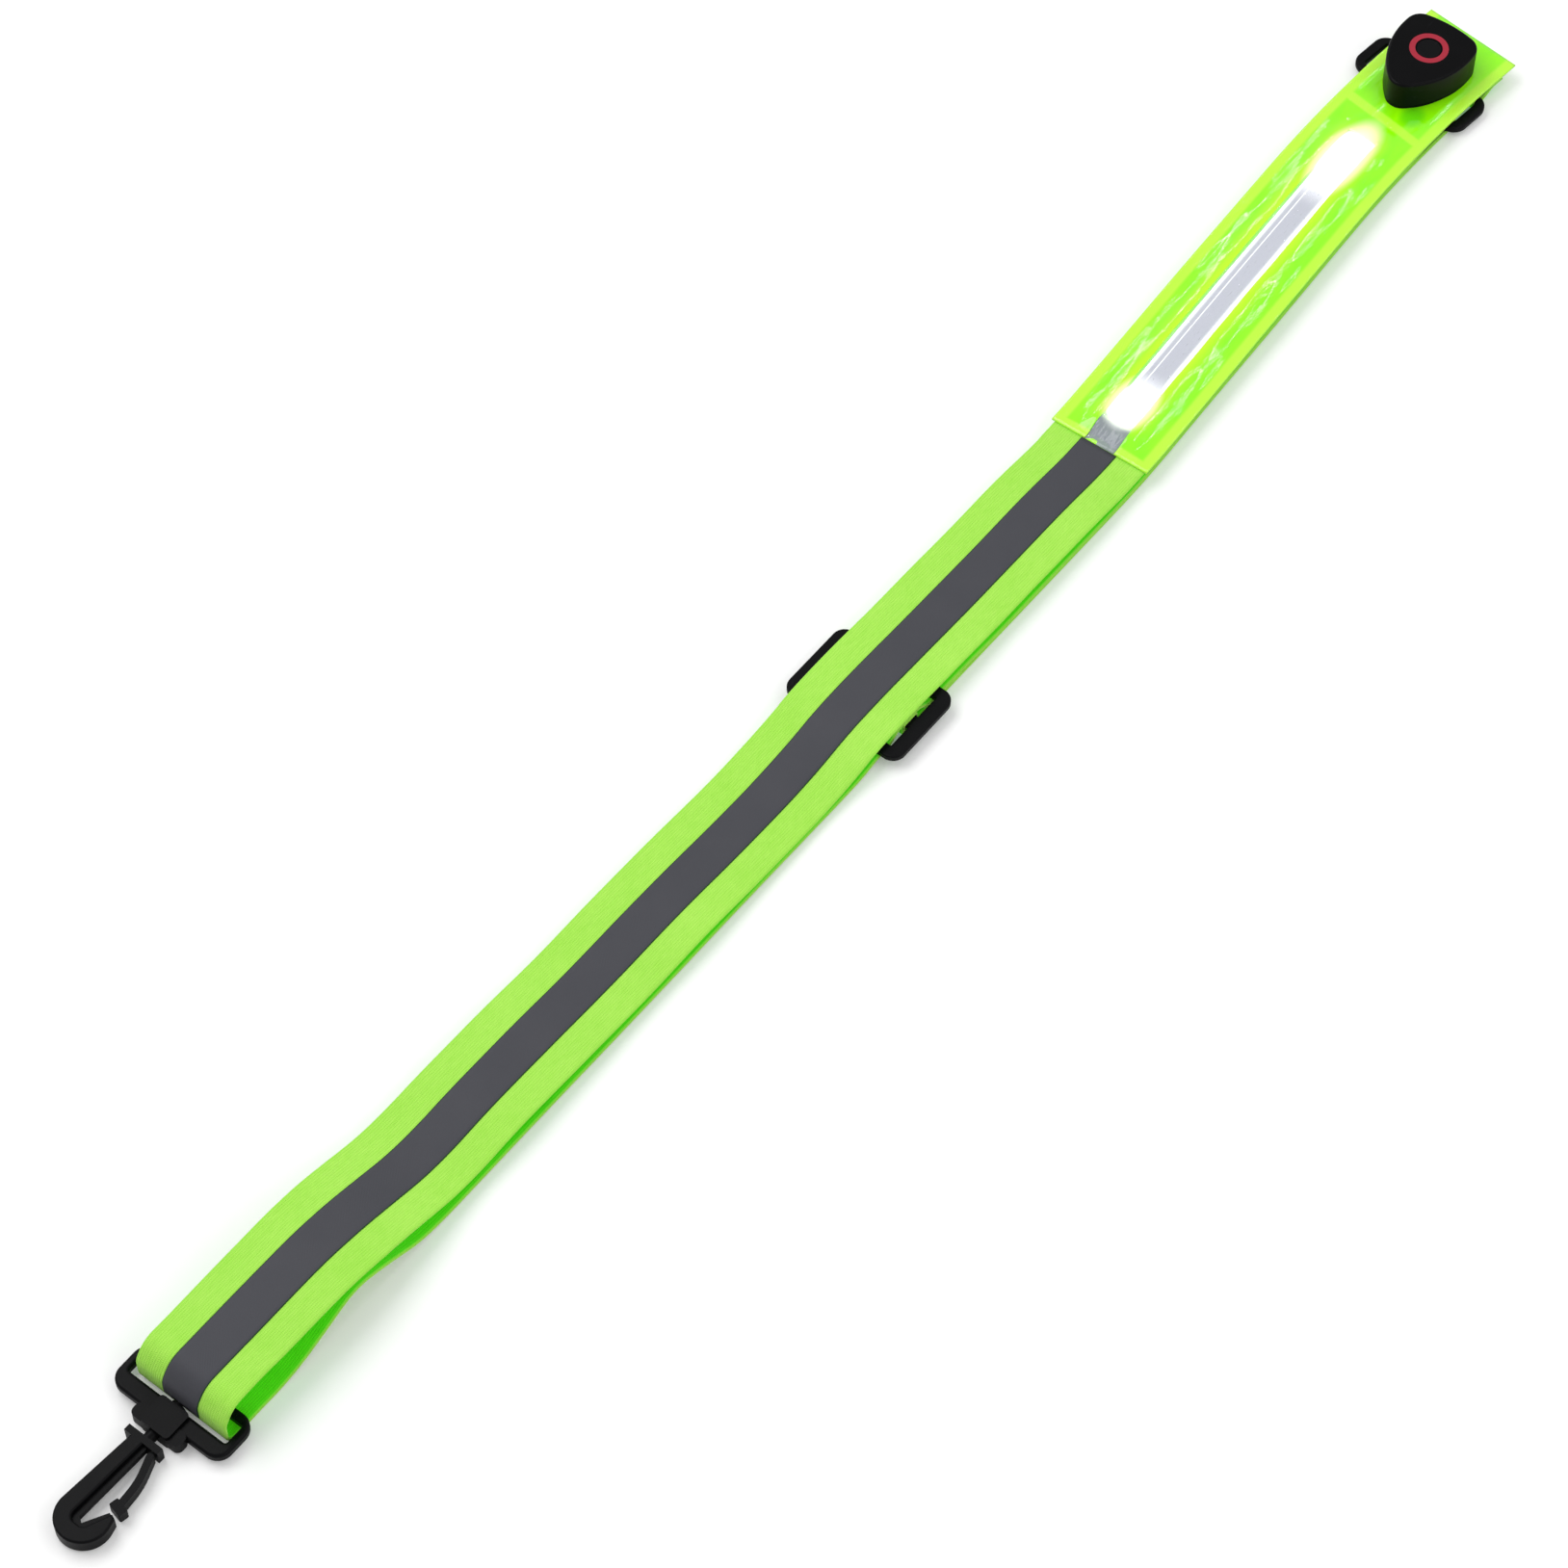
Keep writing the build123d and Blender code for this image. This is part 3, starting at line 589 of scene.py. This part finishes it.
# The inner face is the same webbing painted darker green as painted shade, with a paler rim colour
# as a painted highlight and a faint painted green glow.
SHADED_INNER = webbing_material("webbing_inner_face_painted_shade", colour(84, 216, 10), colour(58, 190, 2),
                         colour(128, 232, 52), painted_glow=0.24)
TAPE = tape_material()
HARDWARE = moulding_material("black_moulding", colour(6, 6, 7), colour(13, 13, 15), 0.4)
SHELL = moulding_material("controller_shell", colour(4, 4, 5), colour(8, 8, 10), 0.34)
BUTTON = moulding_material("button_rubber", colour(9, 9, 11), colour(14, 14, 16), 0.42)
FILM = film_material("pouch_front_film", colour(150, 252, 0), colour(192, 255, 58))
BACKING = film_material("pouch_backing_film", colour(134, 242, 0), colour(170, 250, 40))
WINDOW = window_material()
GLOW = glow_material()
RED = plain_material("crimson_ring", colour(170, 24, 50), colour(150, 18, 42), 0.3, scale=900.0)
SILVER = plain_material("prism_film", colour(196, 198, 206), colour(222, 224, 230), 0.25, 0.6)
STEEL = plain_material("steel", colour(168, 168, 172), colour(196, 196, 200), 0.3, 0.9)
BRASS = plain_material("contact_brass", colour(196, 160, 88), colour(216, 182, 108), 0.3, 0.9)
LEAD = plain_material("lead_film", colour(196, 132, 40), colour(214, 150, 60), 0.35)
BOARD = board_material()
SEAL = plain_material("black_silicone", colour(14, 14, 15), colour(22, 22, 24), 0.6)

NODE_MATERIALS = {
    "hook_frame": HARDWARE,
    "snap_hook": HARDWARE,
    "gate": HARDWARE,
    "slider": HARDWARE,
    "top_ring": HARDWARE,
    "controller_base": SHELL,
    "controller_cover": SHELL,
    "controller_seal": SEAL,
    "red_ring": RED,
    "push_button": BUTTON,
    "switch_plunger": BUTTON,
    "tactile_switch": SEAL,
    "circuit_board": BOARD,
    "coin_cell_lower": STEEL,
    "coin_cell_upper": STEEL,
    "cell_contact_lower": BRASS,
    "cell_contact_upper": BRASS,
    "cover_screws": STEEL,
    "flat_lead": LEAD,
    "reflector_strip": SILVER,
}
for node, material in NODE_MATERIALS.items():
    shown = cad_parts[node]
    for slot in shown.material_slots:
        slot.material = material


# ---------------- the webbing, one band from end to end ----------------
LEG_1 = SLIDER_X - 2.7 - 0.2 - WEB_THICK / 2
LEG_2 = SLIDER_X + 2.7 + 0.2 + WEB_THICK / 2
TURN_LEG = past_seam(RING_START + RING_BAR + 0.15 + WEB_THICK / 2)
FOLD_LEG = past_seam(RING_END - RING_BAR - 0.25 - WEB_THICK / 2)
FOLD_END = past_seam(51.9)
TAIL_Z = OVER_RING_Z - LAYER - 0.05

BAND_ROUTE = [
    # the sewn tail inside the head's fold, round the ring's far bar and over it
    (FOLD_END - 1.9, TAIL_Z, None),
    (FOLD_LEG + 11.8, TAIL_Z, 3.0),
    (FOLD_LEG + 6.2, FIRST_Z + 0.05, 3.0),
    (FOLD_LEG, FIRST_Z, 1.2),
    (FOLD_LEG, OVER_RING_Z, 1.2),
    (FOLD_END, OVER_RING_Z, 0.64),
    (FOLD_END, HEAD_Z, 0.64),
    # under the pouch
    (SEAM_X - 10.0, HEAD_Z, None),
    (620.0, 6.2, None),
    (560.0, 6.6, None),
    (505.0, 5.7, None),
    (POUCH_X, 5.71, None),
    # the front run
    (462.0, 5.7, None),
    (440.0, 7.2, None),
    (412.0, 6.7, None),
    (385.0, 7.0, None),
    (SLIDER_X + 19.0, PASS_Z + 0.8, None),
    (SLIDER_X, PASS_Z + 1.5, None),
    (SLIDER_X - 19.0, PASS_Z + 0.8, None),
    (305.0, 4.9, None),
    (286.0, 3.3, None),
    (262.0, 3.7, None),
    (228.0, 6.0, None),
    (190.0, 5.4, None),
    (160.0, 7.2, None),
    (130.0, 7.6, None),
    (112.0, 6.3, None),
    (98.0, 7.4, None),
    (85.0, 11.2, None),
    (70.0, 15.4, None),
    (54.0, HOOK_RISE - 0.4, None),
    (40.0, HOOK_RISE, None),
    # the bow and the wrap round the frame's bar
    (-3.0, HOOK_RISE, 8.0),
    (SLOT_LEG, 12.0, 6.0),
    (SLOT_LEG, FIRST_Z, 4.0),
    # the back run
    (22.0, FIRST_Z, None),
    (40.0, 7.8, None),
    (53.0, 14.0, None),
    (67.0, 9.6, None),
    (83.0, 1.9, None),
    (96.0, FIRST_Z + 0.05, None),
    (140.0, 1.0, None),
    (190.0, FIRST_Z + 0.05, None),
    (250.0, 1.1, None),
    (300.0, FIRST_Z + 0.05, None),
    (SLIDER_START - 10.0, 0.9, None),
    (SLIDER_START - 1.0, THIRD_Z, None),
    (SLOT_1 + 3.2, THIRD_Z, None),
    (SLOT_1 + 6.9, PASS_Z, None),
    (SLOT_2 + 3.1, PASS_Z, None),
    (SLOT_2 + 6.8, THIRD_Z, None),
    (SLIDER_X + 33.0, THIRD_Z, None),
    (SLIDER_X + 49.0, SECOND_Z + 0.05, None),
    (430.0, SECOND_Z + 0.15, None),
    (474.0, SECOND_Z + 0.05, None),
    (520.0, SECOND_Z + 0.65, None),
    (560.0, SECOND_Z + 0.15, None),
    (610.0, SECOND_Z + 0.85, None),
    (650.0, SECOND_Z + 0.35, None),
    (SEAM_X + 4.0, OVER_RING_Z, None),
    # round the ring's near bar and back to the slider
    (TURN_LEG, OVER_RING_Z, 1.2),
    (TURN_LEG, FIRST_Z, 1.2),
    (SEAM_X, FIRST_Z + 0.02, None),
    (650.0, FIRST_Z + 0.15, None),
    (610.0, FIRST_Z + 0.75, None),
    (560.0, FIRST_Z + 0.05, None),
    (520.0, FIRST_Z + 0.55, None),
    (474.0, FIRST_Z, None),
    (SLIDER_X + 23.0, FIRST_Z + 0.01, None),
    (LEG_1, FIRST_Z, 0.8),
    (LEG_1, LOOP_TOP_Z, 0.8),
    (LEG_2, LOOP_TOP_Z, 0.8),
    (LEG_2, SECOND_Z, 0.8),
    (SLIDER_X + 29.0, SECOND_Z, None),
]


FRONT_SHARE = 0.42          # the part of the band's length before its back run


def waves(station, across):
    """How far a loose stretch of the front run lifts: cupped across, and rippled along."""
    if not (16.0 < station < SLIDER_X - 24.0 or 362.0 < station < 466.0):
        return 0.0
    cup = 0.28 * sin(station / 23.0) * (across / 19.5) ** 2
    ripple = 0.16 * sin(station / 7.3 + 1.7) * (across / 19.5)
    return cup + ripple


def make_webbing():
    """The band, whose outer face is lime and whose inner face is painted a deeper green as painted
    shade.
    """
    line = rounded([(x, z) for x, z, _ in BAND_ROUTE], [r for _, _, r in BAND_ROUTE[1:-1]], 1.8)
    section = flat_section(WEB_WIDTH, WEB_THICK, 26)

    def width_at(station, share):
        pinch = max(0.0, 1.0 - abs(station - 8.0) / 60.0)
        return 1.0 - 0.035 * pinch

    def bulge(station, across, lift, share):
        return waves(station, across) if share < FRONT_SHARE else 0.0

    piece = band("webbing", line, section, [OUTER, SHADED_INNER, OUTER], width_at, bulge,
                 material_of=lambda side: {0: 1, 1: 2, 2: 0}[side])
    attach(piece, "root")
    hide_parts("webbing_hook_bend", "webbing_front_run", "webbing_pouch_run",
                "webbing_back_run", "webbing_return_run", "webbing_slider_loop",
                "webbing_ring_turn", "webbing_head_fold")
    total = lengths(line)[-1]


make_webbing()


# ---------------- tape ----------------
def make_tape():
    """The reflective tape along the front run and round the bow into the frame's slot."""
    first = next(k for k, point in enumerate(BAND_ROUTE) if point[0] == POUCH_X)
    corner = next(k for k, point in enumerate(BAND_ROUTE) if point[0] == SLOT_LEG)
    points = [(x, z) for x, z, _ in BAND_ROUTE[first:corner + 1]] + [(SLOT_LEG, TAPE_LOW_Z)]
    radii = [r for _, _, r in BAND_ROUTE[first + 1:corner + 1]]
    line = rounded(points, radii, 1.8)
    lift = WEB_THICK / 2 + 0.03 + TAPE_THICK / 2
    section = [(a, u - lift, k) for a, u, k in flat_section(TAPE_WIDTH, TAPE_THICK, 10, 1)]

    def bulge(station, across, height, share):
        return waves(station, across)

    piece = band("reflective_tape_strip", line, section, [TAPE], bulge=bulge)
    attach(piece, "root")
    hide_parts("reflective_tape", "reflective_tape_bend")
    lengths(line)[-1] * MM


make_tape()


# ---------------- pouch ----------------
POUCH_POINTS = [
    (POUCH_X, 5.7), (505.0, 5.7), (560.0, 6.6), (620.0, 6.2), (SEAM_X - 10.0, HEAD_Z),
    (past_seam(POUCH_END), HEAD_Z),
]
BACK_TOP = WEB_THICK / 2 + 0.05 + 0.4
LEAD_END = 684.3


def pouch_line(start=None, end=None, step=1.5):
    """The band's line under the pouch between two stations."""
    line = rounded(POUCH_POINTS, [None] * 4, step)
    if start is not None:
        line = [p for p in line if start <= p.x <= end]
    return line


def along(first, last, x):
    """0 before first, 1 after last, smooth between."""
    share = min(max((x - first) / (last - first), 0.0), 1.0)
    return share * share * (3 - 2 * share)


def film_rise(station, across):
    """Height of the front film above the backing film, from weld to channel."""
    apart = abs(across)
    along_channel = along(POUCH_X + 1.0, POUCH_X + 9.0, station)
    along_channel *= 1 - along(644.0, 657.0, station)
    tent = 1.0 - along(7.4, 15.0, apart)
    crown = 1.75 * tent * along_channel
    inside_weld = (1.0 - along(14.2, 16.6, apart)) * along(POUCH_X + 2.5, POUCH_X + 9.0, station)
    inside_weld *= 1.0 - along(706.0, 712.0, station)
    at_seam = 1.0 - along(2.0, 7.0, abs(station - SEAM_X - 1.0 - across * SEAM_SLOPE))
    pillow = 0.45 * inside_weld * (1.0 - at_seam)
    wrinkle = 0.22 * sin(station / 8.5 + across * 0.22) + 0.16 * sin(station / 4.1 - across * 0.35)
    dimples = 0.0
    for x, y in ((482.0, 11.5), (484.0, -12.5), (478.0, -9.5), (655.0, 12.0), (661.0, 9.5),
                 (668.0, -12.0)):
        away = hypot(station - x, across - y)
        dimples += 0.5 * (1.0 - along(0.4, 3.2, away))
    over_lead = (1.0 - along(2.6, 4.4, apart)) * along(643.0, 648.0, station)
    over_lead *= 1.0 - along(LEAD_END + 1.0, LEAD_END + 5.0, station)
    rise = crown + pillow + (wrinkle - 0.05) * inside_weld * 0.8 - dimples * inside_weld
    return max(rise, 0.34 * over_lead, 0.0)


def make_front_film():
    """The front film: welded round its border, pillowed between, tented over the light strip."""
    line = pouch_line()
    columns = 56
    mesh = bmesh.new()
    weave = mesh.loops.layers.uv.new("weave")
    up = normals(line)
    run = lengths(line)
    half = FILM_WIDTH / 2
    spots = sorted(set([-half + FILM_WIDTH * k / columns for k in range(columns + 1)]
                       + [-OPENING, OPENING]))
    grid = {}

    def cut(station, across):
        return abs(across) < OPENING - 0.01 and POUCH_X - 1.0 < station < OPENING_END

    for index, point in enumerate(line):
        for column, across in enumerate(spots):
            rise = film_rise(point.x, across)
            for level, lift in enumerate((BACK_TOP + 0.02, BACK_TOP + 0.42)):
                place = point + up[index] * (lift + rise)
                grid[index, column, level] = mesh.verts.new(at(place.x, place.y, across))

    def add(corners, keys):
        face = mesh.faces.new(corners)
        for loop, (index, column) in zip(face.loops, keys):
            loop[weave].uv = (spots[column], run[index])

    held = set()
    for index in range(len(line) - 1):
        for column in range(len(spots) - 1):
            middle = (spots[column] + spots[column + 1]) / 2
            if not cut((line[index].x + line[index + 1].x) / 2, middle):
                held.add((index, column))
    for index, column in held:
        keys = [(index, column), (index, column + 1), (index + 1, column + 1), (index + 1, column)]
        add([grid[i, c, 1] for i, c in keys], keys)
        add([grid[i, c, 0] for i, c in keys[::-1]], keys[::-1])
        for (i, c), one, two in (
            ((index - 1, column), keys[0], keys[1]), ((index + 1, column), keys[2], keys[3]),
            ((index, column - 1), keys[3], keys[0]), ((index, column + 1), keys[1], keys[2]),
        ):
            if (i, c) not in held:
                add([grid[two + (1,)], grid[one + (1,)], grid[one + (0,)], grid[two + (0,)]],
                    [two, one, one, two])
    loose = [vert for vert in mesh.verts if not vert.link_faces]
    bmesh.ops.delete(mesh, geom=loose, context="VERTS")
    bmesh.ops.recalc_face_normals(mesh, faces=mesh.faces)
    piece = piece_from(mesh, "pouch_front_film", [FILM])
    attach(piece, "root")
    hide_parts("pouch_front")


def make_backing():
    """The backing film between the webbing and the light strip."""
    line = pouch_line()
    lift = BACK_TOP - 0.2
    section = [(a, u + lift, k) for a, u, k in flat_section(FILM_WIDTH, 0.36, 20, 1)]
    piece = band("pouch_backing_film", line, section, [BACKING])
    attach(piece, "root")
    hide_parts("pouch_back")
    lengths(line)[-1] * MM


def make_window():
    """The clear window over the strip, welded under the edges of the front film's opening."""
    line = pouch_line(POUCH_X, WINDOW_END)
    lift = BACK_TOP + 0.02
    section = [(a, u + lift, k) for a, u, k in flat_section(WINDOW_WIDTH, 0.3, 16, 1)]

    def bulge(station, across, height, share):
        return film_rise(station, across * 0.98) - 0.1 + 0.12 * sin(station / 6.0 + across * 0.3)

    piece = band("clear_window_film", line, section, [WINDOW], bulge=bulge)
    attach(piece, "root")
    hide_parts("clear_window")
    lengths(line)[-1] * MM


def make_light_strip():
    """The lit strip: diffuser and both lamps under one skin, rounded along its edges."""
    line = pouch_line(STRIP_START, STRIP_END)
    lift = BACK_TOP + 0.25 + 0.65
    section = [(a, u + lift, k) for a, u, k in flat_section(STRIP_WIDTH, 1.3, 16, 3)]
    piece = band("light_strip", line, section, [GLOW])
    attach(piece, "root")
    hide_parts("light_guide", "led_module_lower", "led_module_upper")


make_backing()
make_front_film()
make_light_strip()
make_window()


# ---------------- camera, light and floor ----------------
LENS = 109.7
AIM_STATION = 294.47        # the point on the table that the camera looks at
AIM_Y = -1.12
CAMERA_TILT = radians(56.34)
CAMERA_AWAY = 1.6307


def make_camera():
    """The camera looks down at the sash from beyond its hook end."""
    camera = bpy.data.objects.new("camera", bpy.data.cameras.new("camera"))
    bpy.context.scene.collection.objects.link(camera)
    camera.data.lens = LENS
    camera.data.sensor_width = 36.0
    target = Vector(((AIM_STATION - MIDDLE_X) * MM, (AIM_Y - MIDDLE_Y) * MM, 0.0))
    level, rise = cos(CAMERA_TILT), sin(CAMERA_TILT)
    away = Vector((-0.784 * level, -0.620 * level, rise)).normalized() * CAMERA_AWAY
    camera.location = target + away
    camera.rotation_euler = (-away).to_track_quat("-Z", "Y").to_euler()
    bpy.context.scene.camera = camera


def lamp(name, place, size, power, aim=(0.0, 0.0, 0.0)):
    """A soft rectangular lamp aimed at a point."""
    data = bpy.data.lights.new(name, "AREA")
    data.shape = "RECTANGLE"
    data.size, data.size_y = size
    data.energy = power
    light = bpy.data.objects.new(name, data)
    light.location = place
    light.rotation_euler = (Vector(aim) - Vector(place)).to_track_quat("-Z", "Y").to_euler()
    bpy.context.scene.collection.objects.link(light)


POUCH_MIDDLE = (0.25, 0.0, 0.0)


def make_room():
    """A pale floor that shows white to the camera and keeps the sash's shadow."""
    s = Shader("floor")
    grain = s.noise(s.place(), 40.0, 2.0)
    seen = s.node("ShaderNodeLightPath", out="Is Camera Ray")
    s.finish(
        Base_Color=s.mix(grain, (0.80, 0.80, 0.80, 1), (0.84, 0.84, 0.84, 1)),
        Roughness=0.9,
        Emission_Color=s.mix(seen, BLACK, (0.16, 0.16, 0.16, 1)),
        Emission_Strength=1.0,
    )
    mesh = bmesh.new()
    bmesh.ops.create_grid(mesh, x_segments=8, y_segments=8, size=4.0)
    floor = piece_from(mesh, "floor", [s.material])
    floor.location.z = -0.0002
    world = bpy.data.worlds.new("studio")
    bpy.context.scene.world = world
    world.use_nodes = True
    world.node_tree.nodes["Background"].inputs["Color"].default_value = WHITE
    world.node_tree.nodes["Background"].inputs["Strength"].default_value = 0.6
    lamp("window_lamp", (-0.2, 0.9, 1.5), (1.4, 1.0), 16.0)
    lamp("fill_lamp", (0.3, -1.3, 1.2), (1.6, 1.0), 7.0)
    lamp("far_glint_lamp", (0.90, 1.07, 0.82), (0.9, 0.02), 1.5, aim=POUCH_MIDDLE)
    lamp("near_glint_lamp", (0.90, -0.18, 1.34), (0.02, 0.9), 1.5, aim=POUCH_MIDDLE)


make_camera()
make_room()
bpy.context.scene.view_settings.view_transform = "Standard"
